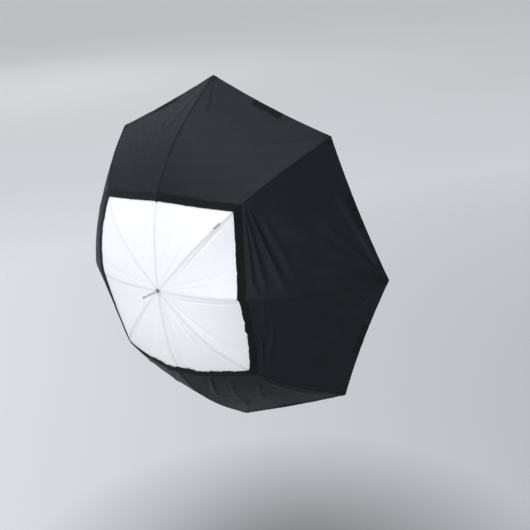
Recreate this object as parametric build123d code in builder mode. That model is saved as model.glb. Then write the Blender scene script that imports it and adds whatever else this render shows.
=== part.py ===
"""A convertible studio umbrella: a white translucent canopy on eight ribs, under a removable black cover
with a square window, on a steel shaft that a light stand's bracket grips.

Row frame: the shaft runs along Y, its tip towards -Y. Rib 0 stands up along +Z and the other ribs follow
clockwise as seen from the tip. The origin is on the shaft's axis, in the bare stretch that a bracket grips.
"""

import os
from math import atan2, cos, degrees, hypot, radians, sin, sqrt, tan

from build123d import *

os.makedirs("parts", exist_ok=True)

# Driving dimensions, mm and degrees
RIB_COUNT = 8
RIB_LENGTH = 610.0  # along the curved rib, from its hinge to its end
GRIP_BEHIND_CROWN = 575.0  # from the crown's hinges to the origin

RIB_START_SLOPE = 1.9  # from the plane square to the shaft
RIB_TURN = 53.6  # how far an opened rib bends from end to end
BEND_PEAK = 0.34  # where it bends most, as a share of its length
JOINT_SHARE = 0.38  # where the stretcher meets the rib
WINDOW_SIDE_SHARE = 0.367  # the window crosses ribs 0, 2, 4 and 6 here
WINDOW_CORNER_SHARE = 0.498  # and has its corners here, on ribs 1, 3, 5 and 7
FOLDED_CHORD = 84.0  # slope of the line from crown hinge to stretcher joint, folded
FLEX_RATIO = -0.36  # how much of the fold a rib's outer part springs back straight

SHAFT_R = 4.0
SHAFT_WALL = 0.8
SHAFT_AHEAD = 4.2  # of the crown's hinges
SHAFT_END = 75.0  # behind the origin
PRESS_GAP, SLIDE_GAP = 0.05, 0.1  # round the shaft, of the fixed rings and of the runner
RIB_W, RIB_D, RIB_WALL = 3.2, 3.0, 0.5
ROD_R = 1.3  # stretcher
WIRE_R, WIRE_GAP = 0.6, 0.02
RING_R = 7.4  # the hinge wires' circle, at the crown and at the runner
EYE_R, EYE_HOLE_R, BLADE = 1.9, 0.68, 1.5
SLOT_W = 2.0
JOINT_DROP = 5.0  # the stretcher's pin hangs this far inside the rib
JOINT_PIN_R, JOINT_PIN_GAP = 0.8, 0.06
RUNNER_HALF, RUNNER_SKIRT = 4.0, 30.0  # half its slotted ring's length, and its skirt's length
FABRIC = 0.4
WHITE_LIFT = 2.3  # from the rib's middle to the canopy's inner face
BLACK_LIFT = 3.1
HALF_GAP = 0.15  # half the gap between neighbouring panels
OVERCUT = 1.0  # how far a cutting body reaches past what it cuts

# Worked out from them
CROWN_Y = -GRIP_BEHIND_CROWN
GORE = 360.0 / RIB_COUNT
SHRINK = cos(radians(GORE / 2))  # a gore is flat from rib to rib, so its middle is nearer the shaft
BEND_RATE = 2.0 * RIB_TURN  # degrees per rib length, at the peak
JOINT_S = JOINT_SHARE * RIB_LENGTH


def slope(share):
    """The opened rib's slope in degrees: it bends most at BEND_PEAK and not at all at its ends."""
    if share < BEND_PEAK:
        return RIB_START_SLOPE + BEND_RATE * share**2 / (2 * BEND_PEAK)
    return RIB_START_SLOPE + RIB_TURN - BEND_RATE * (1 - share) ** 2 / (2 * (1 - BEND_PEAK))


def on_rib(s, lift=0.0, steps=48):
    """(radius, -depth) at length s along the rib's middle, raised by lift towards the tip side."""
    radius, depth = RING_R, 0.0
    for i in range(steps):
        a = radians(slope((i + 0.5) / steps * s / RIB_LENGTH))
        radius += cos(a) * s / steps
        depth += sin(a) * s / steps
    a = radians(slope(s / RIB_LENGTH))
    return radius + lift * sin(a), -depth + lift * cos(a)


def radial_plane(angle, y=CROWN_Y):
    """The plane through the shaft at an angle from rib 0: x outwards, y towards the tip, z tangential."""
    a = radians(angle)
    return Plane(origin=(0, y, 0), x_dir=(sin(a), 0, cos(a)), z_dir=(cos(a), 0, -sin(a)))


def across_shaft(y):
    """The plane square to the shaft at y, facing back along it."""
    return Plane(origin=(0, y, 0), x_dir=(1, 0, 0), z_dir=(0, 1, 0))


def arcs_along(start, end, lift, spans, scale=1.0):
    """Arcs that follow the rib from start to end at one lift, with its radius scaled."""
    points = [on_rib(start + (end - start) * i / (2 * spans), lift) for i in range(2 * spans + 1)]
    points = [(scale * x, y) for x, y in points]
    for i in range(spans):
        ThreePointArc(*points[2 * i : 2 * i + 3])
    return points[0], points[-1]


def band(start, end, low, high, spans=1, scale=1.0):
    """The face between two lifts along the rib, in the current sketch."""
    with BuildLine() as outline:
        inner = arcs_along(start, end, low, spans, scale)
        outer = arcs_along(start, end, high, spans, scale)
        Line(inner[0], outer[0])
        Line(inner[1], outer[1])
    make_face(outline.edges())


def save(part, name):
    part.label = name
    export_step(part, f"parts/{name}.step")


def save_on_rib(k, name, *parts):
    """Save what was made at rib 0 as rib k's, as one body."""
    turned = [part.rotate(Axis.Y, GORE * k) for part in parts]
    save(Compound(turned) if len(turned) > 1 else turned[0], f"{name}_{k}")


joint_mid = on_rib(JOINT_S)
joint_pin = on_rib(JOINT_S, -JOINT_DROP)
arm_length = hypot(joint_pin[0] - RING_R, joint_pin[1])
arm_slope = degrees(atan2(-joint_pin[1], joint_pin[0] - RING_R))
RUNNER_Y = CROWN_Y - 2 * joint_pin[1]
RUNNER_BACK = RUNNER_Y + RUNNER_HALF + RUNNER_SKIRT
FOLD_TRAVEL = FOLDED_CHORD - arm_slope
RUNNER_FOLDED_Y = CROWN_Y + 2 * arm_length * sin(radians(FOLDED_CHORD))

# ---- Shaft, its plug, the runner's stop ring and the spring catch ----

STOP_W, STOP_R, STOP_ROUND, GROOVE_DEPTH = 2.0, 5.6, 0.6, 0.3
STOP_Y = RUNNER_FOLDED_Y + RUNNER_HALF + RUNNER_SKIRT + 0.5  # half a millimetre clear of the folded runner
PLUG_DEPTH, PLUG_HEAD, PLUG_HEAD_R, PLUG_ROUND = 14.0, 5.0, 3.6, 2.4
CATCH_Y = RUNNER_BACK + 0.4
CATCH_L, CATCH_W, CATCH_T, CATCH_RISE, CATCH_CURL_R = 34.0, 1.8, 0.8, 2.6, 0.7
CATCH_SEAT, CATCH_FOOT = 0.2, 6.0  # its gap to the tube inside, and the length that lies along it
NOSE_BEVEL, NOSE_FRONT, NOSE_BACK = 0.8, 1.2, 3.0
HOLLOW_BACK, HOLLOW_DEPTH = 3.4, 1.2
SLOT_LENGTH, SLOT_AHEAD, SLOT_PLAY = 31.0, 2.0, 0.8
SHAFT_FRONT = CROWN_Y - SHAFT_AHEAD

with BuildPart() as shaft:
    with BuildSketch(across_shaft(SHAFT_FRONT)):
        Circle(SHAFT_R)
        Circle(SHAFT_R - SHAFT_WALL, mode=Mode.SUBTRACT)
    extrude(amount=SHAFT_END - SHAFT_FRONT)
    with BuildSketch(across_shaft(STOP_Y)):
        Circle(SHAFT_R + OVERCUT)
        Circle(SHAFT_R - GROOVE_DEPTH, mode=Mode.SUBTRACT)
    extrude(amount=STOP_W, mode=Mode.SUBTRACT)
    with BuildSketch(Plane.XY.offset(-SHAFT_R - OVERCUT)):
        with Locations((0, CATCH_Y + SLOT_LENGTH / 2 - SLOT_AHEAD)):
            SlotOverall(SLOT_LENGTH, CATCH_W + SLOT_PLAY, rotation=90)
    extrude(amount=SHAFT_R + OVERCUT, mode=Mode.SUBTRACT)
save(shaft.part, "shaft")

with BuildPart() as shaft_plug:
    with BuildSketch(across_shaft(SHAFT_END - PLUG_DEPTH)):
        Circle(SHAFT_R - SHAFT_WALL)
    extrude(amount=PLUG_DEPTH)
    with BuildSketch(across_shaft(SHAFT_END)):
        Circle(PLUG_HEAD_R)
    extrude(amount=PLUG_HEAD)
    fillet(shaft_plug.edges().group_by(Axis.Y)[-1], PLUG_ROUND)
save(shaft_plug.part, "shaft_plug")

with BuildPart() as runner_stop:
    with BuildSketch(across_shaft(STOP_Y)):
        Circle(STOP_R)
        Circle(SHAFT_R - GROOVE_DEPTH, mode=Mode.SUBTRACT)
    extrude(amount=STOP_W)
    fillet(runner_stop.edges().filter_by(GeomType.CIRCLE).group_by(SortBy.RADIUS)[-1], STOP_ROUND)
save(runner_stop.part, "runner_stop")

with BuildPart() as spring_catch:
    with BuildSketch(Plane.YZ):
        with BuildLine():
            nose, root = -SHAFT_R - CATCH_RISE, -SHAFT_R + SHAFT_WALL + CATCH_SEAT
            foot, back = CATCH_Y + CATCH_L - CATCH_FOOT, CATCH_Y + CATCH_L
            Polyline(
                (CATCH_Y, root),
                (CATCH_Y, nose + NOSE_BEVEL),
                (CATCH_Y + NOSE_FRONT, nose),
                (CATCH_Y + NOSE_BACK, nose),
                (foot, root),
                (back, root),
                (back, root + CATCH_T),
                (foot, root + CATCH_T),
                (CATCH_Y + HOLLOW_BACK, nose + HOLLOW_DEPTH),
                (CATCH_Y + NOSE_FRONT, root),
                close=True,
            )
        make_face()
        with Locations((back, root + CATCH_CURL_R)):
            Circle(CATCH_CURL_R)
    extrude(amount=CATCH_W / 2, both=True)
save(spring_catch.part, "spring_catch")

# ---- Tip ferrule and the washer that clamps the canopy's centre ----

FERRULE_R, FERRULE_BORE_R, FERRULE_ROUND = 3.15, 2.4, 0.4
FERRULE_LENGTH, FERRULE_ROOT = 56.0, 12.0  # ahead of the crown's hinges and behind them
WASHER_R, WASHER_T, WASHER_ROUND, WASHER_GAP = 8.2, 1.2, 0.5, 0.5
WASHER_Y = CROWN_Y - WHITE_LIFT - FABRIC - WASHER_GAP - WASHER_T

with BuildPart() as ferrule:
    with BuildSketch(across_shaft(CROWN_Y - FERRULE_LENGTH)):
        Circle(FERRULE_R)
        Circle(FERRULE_BORE_R, mode=Mode.SUBTRACT)
    extrude(amount=FERRULE_LENGTH + FERRULE_ROOT)
    front_circles = ferrule.edges().filter_by(GeomType.CIRCLE).group_by(Axis.Y)[0]
    fillet(front_circles.sort_by(SortBy.RADIUS)[-1], FERRULE_ROUND)
save(ferrule.part, "ferrule")

with BuildPart() as crown_washer:
    with BuildSketch(across_shaft(WASHER_Y)):
        Circle(WASHER_R)
        Circle(SHAFT_R + PRESS_GAP, mode=Mode.SUBTRACT)
    extrude(amount=WASHER_T)
    fillet(crown_washer.edges().group_by(Axis.Y)[0].sort_by(SortBy.RADIUS)[-1], WASHER_ROUND)
save(crown_washer.part, "crown_washer")

# ---- Crown and runner: slotted rings that carry the hinge wires ----

NOTCH_R, SLOT_FLOOR_R = 8.6, 5.2
CROWN_FRONT, CROWN_BACK = 1.0, 6.0
SKIRT_R, LIP_R, LIP_LENGTH, LIP_ROUND = SHAFT_R + 2.2, SHAFT_R + 3.4, 5.0, 1.0


def slotted_ring(y, front, back, bore):
    """A collar with a radial slot for each rib or stretcher, and the groove that its hinge wire lies in."""
    with BuildPart() as ring:
        with BuildSketch(across_shaft(y - front)):
            Circle(NOTCH_R)
            Circle(bore, mode=Mode.SUBTRACT)
        extrude(amount=front + back)
        with BuildSketch(across_shaft(y - front)):
            with PolarLocations(0, RIB_COUNT):
                with Locations((SLOT_FLOOR_R + NOTCH_R / 2, 0)):
                    Rectangle(NOTCH_R, SLOT_W)
        extrude(amount=front + back, mode=Mode.SUBTRACT)
        with BuildSketch(radial_plane(GORE / 2, y)):
            with Locations((RING_R, 0)):
                Circle(WIRE_R + WIRE_GAP)
        revolve(axis=Axis.Y, mode=Mode.SUBTRACT)
    return ring.part


def hinge_wire(y):
    with BuildPart() as wire:
        with BuildSketch(radial_plane(GORE / 2, y)):
            with Locations((RING_R, 0)):
                Circle(WIRE_R)
        revolve(axis=Axis.Y)
    return wire.part


save(slotted_ring(CROWN_Y, CROWN_FRONT, CROWN_BACK, SHAFT_R + PRESS_GAP), "crown")
save(hinge_wire(CROWN_Y), "crown_wire")

with BuildPart() as runner:
    add(slotted_ring(RUNNER_Y, RUNNER_HALF, RUNNER_HALF, SHAFT_R + SLIDE_GAP))
    with BuildSketch(across_shaft(RUNNER_Y + RUNNER_HALF)):
        Circle(SKIRT_R)
        Circle(SHAFT_R + SLIDE_GAP, mode=Mode.SUBTRACT)
    extrude(amount=RUNNER_SKIRT)
    with BuildSketch(across_shaft(RUNNER_BACK - LIP_LENGTH)):
        Circle(LIP_R)
        Circle(SHAFT_R + SLIDE_GAP, mode=Mode.SUBTRACT)
    extrude(amount=LIP_LENGTH)
    fillet(runner.edges().group_by(Axis.Y)[-1].sort_by(SortBy.RADIUS)[-1], LIP_ROUND)
save(runner.part, "runner")
save(hinge_wire(RUNNER_Y), "runner_wire")

# ---- Rib: a fluted steel strip, in two parts that meet at the stretcher joint ----

FLUTE_START = 9.0
FLUTE_PAST_END, FLUTE_PAST_EDGE = 0.5, 0.3
INNER_SPANS, OUTER_SPANS = 3, 4
KNUCKLE_R, KNUCKLE_GAP = RIB_D / 2, 0.3
RIVET_R, RIVET_GAP = 0.7, 0.03
RIVET_S = JOINT_S - 6.0
BLADE_START, BLADE_LAP, BLADE_LOW = 0.5, 3.0, -1.0  # the solid root between the eye and the flute
EAR_GAP, EAR_T, EAR_R, EAR_TOP = 0.3, 0.6, 2.6, 0.6
EAR_AHEAD, EAR_BEHIND = 3.0, 5.0  # of the rivet and of the joint
PIN_HEAD = 0.5
TIP_R, TIP_LENGTH, TIP_GAP, TIP_ROUND = 2.6, 4.0, 0.2, 1.6


def fluted(start, end, spans):
    """The channel-section strip from start to end, open towards the bowl."""
    with BuildPart() as strip:
        with BuildSketch(radial_plane(0)):
            band(start, end, -RIB_D / 2, RIB_D / 2, spans)
        extrude(amount=RIB_W / 2, both=True)
        with BuildSketch(radial_plane(0)):
            low, high = -RIB_D / 2 - FLUTE_PAST_EDGE, RIB_D / 2 - RIB_WALL
            band(start - FLUTE_PAST_END, end + FLUTE_PAST_END, low, high, spans)
        extrude(amount=RIB_W / 2 - RIB_WALL, both=True, mode=Mode.SUBTRACT)
    return strip.part


with BuildPart() as rib_inner:
    add(fluted(FLUTE_START, JOINT_S, INNER_SPANS))
    with BuildSketch(radial_plane(0)):
        with Locations(joint_mid):
            Circle(KNUCKLE_R + KNUCKLE_GAP)
        with Locations(on_rib(RIVET_S)):
            Circle(RIVET_R + RIVET_GAP)
    extrude(amount=RIB_W, both=True, mode=Mode.SUBTRACT)
    with BuildSketch(radial_plane(0)):
        with Locations((RING_R, 0)):
            Circle(EYE_R)
        band(BLADE_START, FLUTE_START + BLADE_LAP, BLADE_LOW, RIB_D / 2 - RIB_WALL)
        with Locations((RING_R, 0)):
            Circle(EYE_HOLE_R, mode=Mode.SUBTRACT)
    extrude(amount=BLADE / 2, both=True)

with BuildPart() as joint_saddle:
    ear_low = RIB_W / 2 + EAR_GAP
    with BuildSketch(radial_plane(0)) as ear:
        band(RIVET_S - EAR_AHEAD, JOINT_S + EAR_BEHIND, -RIB_D / 2, RIB_D / 2 - EAR_TOP)
        with Locations(joint_pin):
            Circle(EAR_R)
    extrude(amount=ear_low + EAR_T, both=True)
    extrude(ear.sketch, amount=ear_low, both=True, mode=Mode.SUBTRACT)
    for centre, radius in ((joint_pin, JOINT_PIN_R), (on_rib(RIVET_S), RIVET_R)):
        with BuildSketch(radial_plane(0)):
            with Locations(centre):
                Circle(radius)
        extrude(amount=ear_low + EAR_T + PIN_HEAD, both=True)

with BuildPart() as rib_outer:
    add(fluted(JOINT_S, RIB_LENGTH, OUTER_SPANS))
    with BuildSketch(radial_plane(0)):
        with Locations(joint_mid):
            Circle(KNUCKLE_R)
    extrude(amount=RIB_W / 2, both=True)

tip_end = on_rib(RIB_LENGTH, WHITE_LIFT - TIP_R - TIP_GAP)
tip_slope = slope(1.0)
tip_plane = Plane(
    origin=(0, CROWN_Y - tip_end[1], tip_end[0]),
    x_dir=(1, 0, 0),
    z_dir=(0, sin(radians(tip_slope)), cos(radians(tip_slope))),
)
with BuildPart() as rib_tip:
    with BuildSketch(tip_plane):
        Circle(TIP_R)
    extrude(amount=TIP_LENGTH)
    fillet(rib_tip.faces().sort_by(Axis.Z)[-1].edges(), TIP_ROUND)

# ---- Stretcher: a round rod with flattened eyes, from the runner to the rib ----

runner_eye = (RING_R, CROWN_Y - RUNNER_Y)
arm_dir = ((joint_pin[0] - runner_eye[0]) / arm_length, (joint_pin[1] - runner_eye[1]) / arm_length)
ROD_MARGIN = 9.0  # the flattened length at each end
FLAT_W, FLAT_LAP = 2.4, 2.0


def along_arm(t):
    return (runner_eye[0] + arm_dir[0] * t, runner_eye[1] + arm_dir[1] * t)


rod_start = along_arm(ROD_MARGIN)
rod_plane = Plane(
    origin=(0, CROWN_Y - rod_start[1], rod_start[0]),
    x_dir=(1, 0, 0),
    z_dir=(0, -arm_dir[1], arm_dir[0]),
)
with BuildPart() as stretcher:
    with BuildSketch(rod_plane):
        Circle(ROD_R)
    extrude(amount=arm_length - 2 * ROD_MARGIN)
    with BuildSketch(radial_plane(0)):
        for t in (0.0, arm_length):
            with Locations(along_arm(t)):
                Circle(EYE_R)
        half_flat = (ROD_MARGIN + FLAT_LAP) / 2
        for t in (half_flat, arm_length - half_flat):
            with Locations(along_arm(t)):
                Rectangle(2 * half_flat, FLAT_W, rotation=degrees(atan2(arm_dir[1], arm_dir[0])))
        with Locations(along_arm(0)):
            Circle(EYE_HOLE_R, mode=Mode.SUBTRACT)
        with Locations(along_arm(arm_length)):
            Circle(JOINT_PIN_R + JOINT_PIN_GAP, mode=Mode.SUBTRACT)
    extrude(amount=BLADE / 2, both=True)

# ---- Canopy and cover: each rib carries the cloth halfway to its neighbours ----

REACH = 700.0  # longer than any panel
FRONT_Y = CROWN_Y - 20.0  # ahead of all cloth
HALF = radians(GORE / 2)
SPLIT_Z = on_rib(JOINT_S, WHITE_LIFT)[0]
HUB_HOLE_R = 6.0
CLOTH_SPANS = 6
# Where the bands that the panels are cut from begin, along the rib
CLOTH_START, WHITE_OUTER_START, BLACK_START = 0.5, 0.8 * JOINT_S, 0.6 * JOINT_S


def half_panel(lift, start, z_low, z_high, window=None):
    """The cloth from rib 0 to the middle of the next gore, between two distances out along the rib."""
    with BuildPart() as cloth:
        with BuildSketch(radial_plane(GORE / 2)):
            band(start, RIB_LENGTH, lift, lift + FABRIC, CLOTH_SPANS, SHRINK)
        extrude(amount=REACH / 2, both=True)
        with BuildSketch(across_shaft(FRONT_Y)):
            with BuildLine():
                edge = HALF_GAP / cos(HALF)
                corners = [
                    (0, -z_low),
                    (z_low * tan(HALF) - edge, -z_low),
                    (z_high * tan(HALF) - edge, -z_high),
                    (0, -z_high),
                ]
                Polyline(*corners, close=True)
            make_face()
        extrude(amount=REACH, mode=Mode.INTERSECT)
        if window:
            near, far = window
            with BuildSketch(across_shaft(FRONT_Y)):
                with BuildLine():
                    side = far / sqrt(2)
                    Polyline((0, 0), (0, -near), (side, -side), close=True)
                make_face()
            extrude(amount=REACH, mode=Mode.SUBTRACT)
    return cloth.part


def panel(*args, **kwargs):
    """Both halves of one rib's cloth, as one solid."""
    half = half_panel(*args, **kwargs)
    with BuildPart() as both:
        add(half)
        mirror(about=Plane.YZ)
    return both.part


window_side_r = on_rib(WINDOW_SIDE_SHARE * RIB_LENGTH, BLACK_LIFT)[0]
window_corner_r = on_rib(WINDOW_CORNER_SHARE * RIB_LENGTH, BLACK_LIFT)[0]

white_inner = panel(WHITE_LIFT, CLOTH_START, HUB_HOLE_R, SPLIT_Z - HALF_GAP)
white_outer = panel(WHITE_LIFT, WHITE_OUTER_START, SPLIT_Z + HALF_GAP, REACH)
black_even = panel(BLACK_LIFT, BLACK_START, SPLIT_Z, REACH, window=(window_side_r, window_corner_r))
black_odd = panel(BLACK_LIFT, BLACK_START, SPLIT_Z, REACH, window=(window_corner_r, window_side_r))

for k in range(RIB_COUNT):
    save_on_rib(k, "rib_inner", rib_inner.part, joint_saddle.part)
    save_on_rib(k, "rib_outer", rib_outer.part, rib_tip.part)
    save_on_rib(k, "stretcher", stretcher.part)
    save_on_rib(k, "canopy_inner", white_inner)
    save_on_rib(k, "canopy_outer", white_outer)
    save_on_rib(k, "cover", black_odd if k % 2 else black_even)

print("joint pin radius, depth", joint_pin, "arm", arm_length, arm_slope)
print("runner y", RUNNER_Y, "folded", RUNNER_FOLDED_Y, "stop", STOP_Y)
print("fold travel", FOLD_TRAVEL, "with a flex of", FLEX_RATIO * FOLD_TRAVEL)
print("catch", CATCH_Y, "joint middle", joint_mid)
print("tip", tip_end, "window", window_side_r, window_corner_r)
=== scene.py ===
"""The looks of a convertible studio umbrella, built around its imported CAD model. Everything is in metres, in the
row frame: the shaft runs along Y with its tip towards -Y, rib 0 stands up along +Z, and the other ribs follow
clockwise as seen from the tip. Gore g is the cloth between ribs g and g + 1. The cloth of each rib, half of the
gore on each side, is one panel that rides on that rib.
"""

import math

import bpy
import numpy as np
from mathutils import Matrix, Vector


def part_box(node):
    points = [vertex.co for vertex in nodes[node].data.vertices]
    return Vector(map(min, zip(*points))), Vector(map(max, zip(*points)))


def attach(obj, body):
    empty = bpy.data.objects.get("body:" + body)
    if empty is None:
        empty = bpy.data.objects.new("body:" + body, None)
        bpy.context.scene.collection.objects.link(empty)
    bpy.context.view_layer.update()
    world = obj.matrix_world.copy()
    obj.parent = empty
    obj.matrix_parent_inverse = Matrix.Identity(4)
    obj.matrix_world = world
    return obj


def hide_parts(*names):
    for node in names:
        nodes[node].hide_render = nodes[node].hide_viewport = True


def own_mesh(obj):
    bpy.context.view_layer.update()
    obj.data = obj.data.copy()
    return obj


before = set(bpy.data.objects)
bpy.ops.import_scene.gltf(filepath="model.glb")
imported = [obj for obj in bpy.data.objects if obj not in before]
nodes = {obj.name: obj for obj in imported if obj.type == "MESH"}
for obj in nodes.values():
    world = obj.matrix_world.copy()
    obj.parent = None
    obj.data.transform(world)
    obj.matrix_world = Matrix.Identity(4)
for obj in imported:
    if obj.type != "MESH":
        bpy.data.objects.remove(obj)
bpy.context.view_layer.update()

# ---- Sizes that the CAD model was made to ----

RIBS = 8
RIB_LENGTH = 0.610
RING_R = 0.0074  # the crown's hinge circle
CROWN_Y = (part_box("crown_wire")[0].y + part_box("crown_wire")[1].y) / 2
START_SLOPE = math.radians(1.9)
TURN = math.radians(53.6)  # how far a rib bends from end to end
BEND_PEAK = 0.34  # where it bends most, as a share of its length
JOINT_SHARE = 0.38  # where a rib's two parts and the white cloth's two panels meet
SIDE_SHARE, CORNER_SHARE = 0.367, 0.498  # the window's edge on even and on odd ribs
TAPE_SIDE_SHARE, TAPE_CORNER_SHARE = 0.4034, 0.5404  # the tape's outer edge there
HUB_HOLE_R = 0.006
WHITE_LIFT, BLACK_LIFT = 0.0025, 0.0034  # from the rib's middle out to each cloth

HALF_GORE = math.pi / RIBS
COS, SIN = math.cos(HALF_GORE), math.sin(HALF_GORE)

# ---- How the cloth lies ----

# How far the middle of each gore lies inside the flat between its ribs. Where it is below 0, the gore billows out.
SAGS = (0.006, 0.007, 0.007, -0.005, -0.009, 0.000, -0.012, 0.003)
# Where along a rib this is fullest and starts to ease, as shares of it, and by how much it eases
SAG_FULL, EASE_FROM, EASE = 0.6, 0.5, 0.25
HEM_BOW = 0.004  # and the hem's middle this far short of the rib ends
CELL = 0.005
NORMAL_STEP = 0.0008
LEAST_CELLS = 8  # in each half of a panel, and along it
NEAR_RIB = (0.0, 0.012, 0.03, 0.055, 0.085)  # closer columns beside each rib, as shares of half a gore
LEAST_HALF_WIDTH = 0.004  # for the steps that normals are taken from, near the hub
WHITE_FREE, BLACK_FREE = 0.12, 0.10  # how soon each cloth comes free of a rib, as a share of half a gore
WHITE_ROUGH, WHITE_WAVELENGTHS = 0.0007, (0.16, 0.09, 0.07, 0.05, 0.034)
BLACK_ROUGH, BLACK_WAVELENGTHS = 0.0011, (0.21, 0.13, 0.09, 0.06, 0.041)
HUB_SMOOTH = 0.10  # the white cloth's roughness grows over this length from the hub
# Puckers beside the tape: their height, wavelengths, how far along the rib they fade and rise, and their slant
PUCKER, PUCKER_WAVELENGTHS, PUCKER_FADE, PUCKER_RISE, PUCKER_SLANT = 0.0009, (0.031, 0.022, 0.045), 0.016, 0.004, 0.2
WHITE_SEED, BLACK_SEED, INNER_SEED, OUTER_SEED, PUCKER_SEED = 10, 20, 40, 60, 90


def slope(s):
    """The rib's slope in radians at length s from its hinge."""
    share = np.clip(s / RIB_LENGTH, 0.0, None)
    near = START_SLOPE + TURN * share**2 / BEND_PEAK
    far = START_SLOPE + TURN - TURN * (1 - share) ** 2 / (1 - BEND_PEAK)
    return np.where(share < BEND_PEAK, near, far)


LENGTHS = np.linspace(0.0, RIB_LENGTH * 1.02, 1501)
_steps = np.diff(LENGTHS)
_mid_slopes = slope((LENGTHS[1:] + LENGTHS[:-1]) / 2)
RADII = RING_R + np.concatenate([[0.0], np.cumsum(np.cos(_mid_slopes) * _steps)])
DEPTHS = np.concatenate([[0.0], np.cumsum(np.sin(_mid_slopes) * _steps)])


def radius(s):
    return np.interp(s, LENGTHS, RADII)


def length_at(r):
    """The length along a rib at which it is r from the shaft's axis."""
    return np.interp(r, RADII, LENGTHS)


def half_width(s):
    """Half of a gore's width where its ribs have run for s."""
    return SIN * radius(s)


def smooth(x):
    x = np.clip(x, 0.0, 1.0)
    return x * x * (3 - 2 * x)


def ripples(x, y, seed, wavelengths, along=None):
    """A gentle uneven surface from 0 to about 1: waves of several lengths and directions, seeded."""
    draw = np.random.default_rng(seed)
    total = np.zeros(np.broadcast(x, y).shape)
    for wavelength in wavelengths:
        direction = draw.uniform(0, math.pi) if along is None else along + draw.normal(0, 0.25)
        phase = draw.uniform(0, 2 * math.pi)
        wave = (x * math.cos(direction) + y * math.sin(direction)) * 2 * math.pi / wavelength
        total = total + np.sin(wave + phase)
    return 0.5 + 0.5 * total / len(wavelengths)


# Folds of the black cover: gore, where each starts and ends as (place across the gore from -1 to 1, share of the rib's
# length), its width and its height in millimetres.
COVER_FOLDS = (
    (1, (-0.97, 0.552), (0.97, 0.440), 5, 4.2),
    (1, (-0.95, 0.550), (0.97, 0.495), 6, 5.0),
    (1, (-0.90, 0.558), (0.98, 0.575), 8, 7.5),
    (1, (-0.60, 0.600), (0.85, 0.640), 12, 3.4),
    (1, (0.50, 0.462), (0.98, 0.462), 4, 2.6),
    (1, (0.98, 0.985), (-0.55, 0.62), 16, 9.0),
    (1, (0.98, 0.980), (-0.25, 0.80), 12, 6.5),
    (1, (0.985, 0.97), (0.35, 0.78), 9, 5.0),
    (1, (0.985, 0.96), (0.60, 0.70), 7, 4.0),
    (1, (0.97, 0.990), (-0.60, 0.93), 10, 5.0),
    (2, (0.05, 0.520), (0.85, 0.560), 5, 3.4),
    (2, (-0.20, 0.560), (0.85, 0.580), 8, 4.0),
    (2, (-0.90, 0.480), (-0.10, 0.520), 6, 3.0),
    (2, (-0.97, 0.970), (-0.30, 0.72), 10, 3.6),
    (2, (-0.97, 0.960), (-0.05, 0.82), 8, 3.0),
    (3, (-0.93, 0.58), (-0.78, 0.96), 13, 2.2),
    (3, (-0.70, 0.60), (0.10, 0.84), 10, 1.9),
    (3, (-0.30, 0.52), (0.45, 0.76), 9, 1.6),
    (3, (0.10, 0.47), (0.70, 0.66), 7, 3.0),
    (3, (0.96, 0.98), (0.20, 0.74), 12, 3.9),
    (4, (-0.60, 0.45), (-0.15, 0.80), 10, 1.6),
    (4, (0.30, 0.50), (0.55, 0.90), 10, 1.6),
    (5, (0.90, 0.98), (0.10, 0.66), 14, 2.2),
    (5, (-0.95, 0.56), (0.05, 0.72), 10, 1.8),
    (6, (-0.95, 0.98), (0.00, 0.70), 14, 2.2),
    (6, (0.95, 0.56), (0.05, 0.64), 10, 2.0),
    (7, (-0.97, 0.97), (-0.35, 0.66), 12, 1.4),
    (7, (0.96, 0.97), (0.30, 0.72), 12, 1.2),
    (0, (-0.97, 0.98), (-0.72, 0.80), 5, 1.6),
    (0, (0.96, 0.57), (0.25, 0.74), 12, 1.2),
    (0, (0.97, 0.98), (0.30, 0.78), 12, 1.2),
)

# Folds of the white canopy, which run out from the hub, with their depth in millimetres.
CANOPY_FOLDS = (
    (0, (0.55, 0.04), (0.62, 0.42), 4, 1.2),
    (0, (-0.35, 0.05), (-0.20, 0.36), 5, 0.6),
    (1, (-0.45, 0.13), (-0.93, 0.49), 3, 1.4),
    (1, (0.10, 0.05), (0.25, 0.40), 6, 0.7),
    (1, (0.60, 0.04), (0.50, 0.38), 4, 0.5),
    (2, (0.00, 0.07), (-0.88, 0.44), 3, 1.8),
    (2, (0.35, 0.05), (0.70, 0.47), 5, 1.7),
    (2, (-0.20, 0.05), (0.30, 0.30), 5, 0.5),
    (3, (-0.60, 0.06), (-0.50, 0.46), 5, 1.8),
    (3, (0.55, 0.07), (0.58, 0.43), 9, 2.6),
    (3, (0.05, 0.05), (0.10, 0.38), 6, 0.6),
    (4, (-0.30, 0.06), (-0.10, 0.36), 6, 0.6),
    (4, (0.60, 0.08), (0.80, 0.46), 5, 0.8),
    (5, (0.00, 0.06), (0.10, 0.40), 6, 0.5),
    (6, (-0.40, 0.06), (-0.50, 0.40), 5, 0.6),
    (6, (0.55, 0.05), (0.62, 0.42), 4, 1.2),
    (7, (-0.55, 0.08), (-0.72, 0.42), 3, 1.3),
    (7, (0.70, 0.06), (0.60, 0.34), 4, 0.5),
)

FOLD_START, FOLD_FADE = 0.16, 0.32  # shares of its length over which a fold rises and dies away
FOLD_NARROW, FOLD_SPREAD = 0.45, 0.9  # its width where it starts, and what it gains, as shares of the width given


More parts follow.
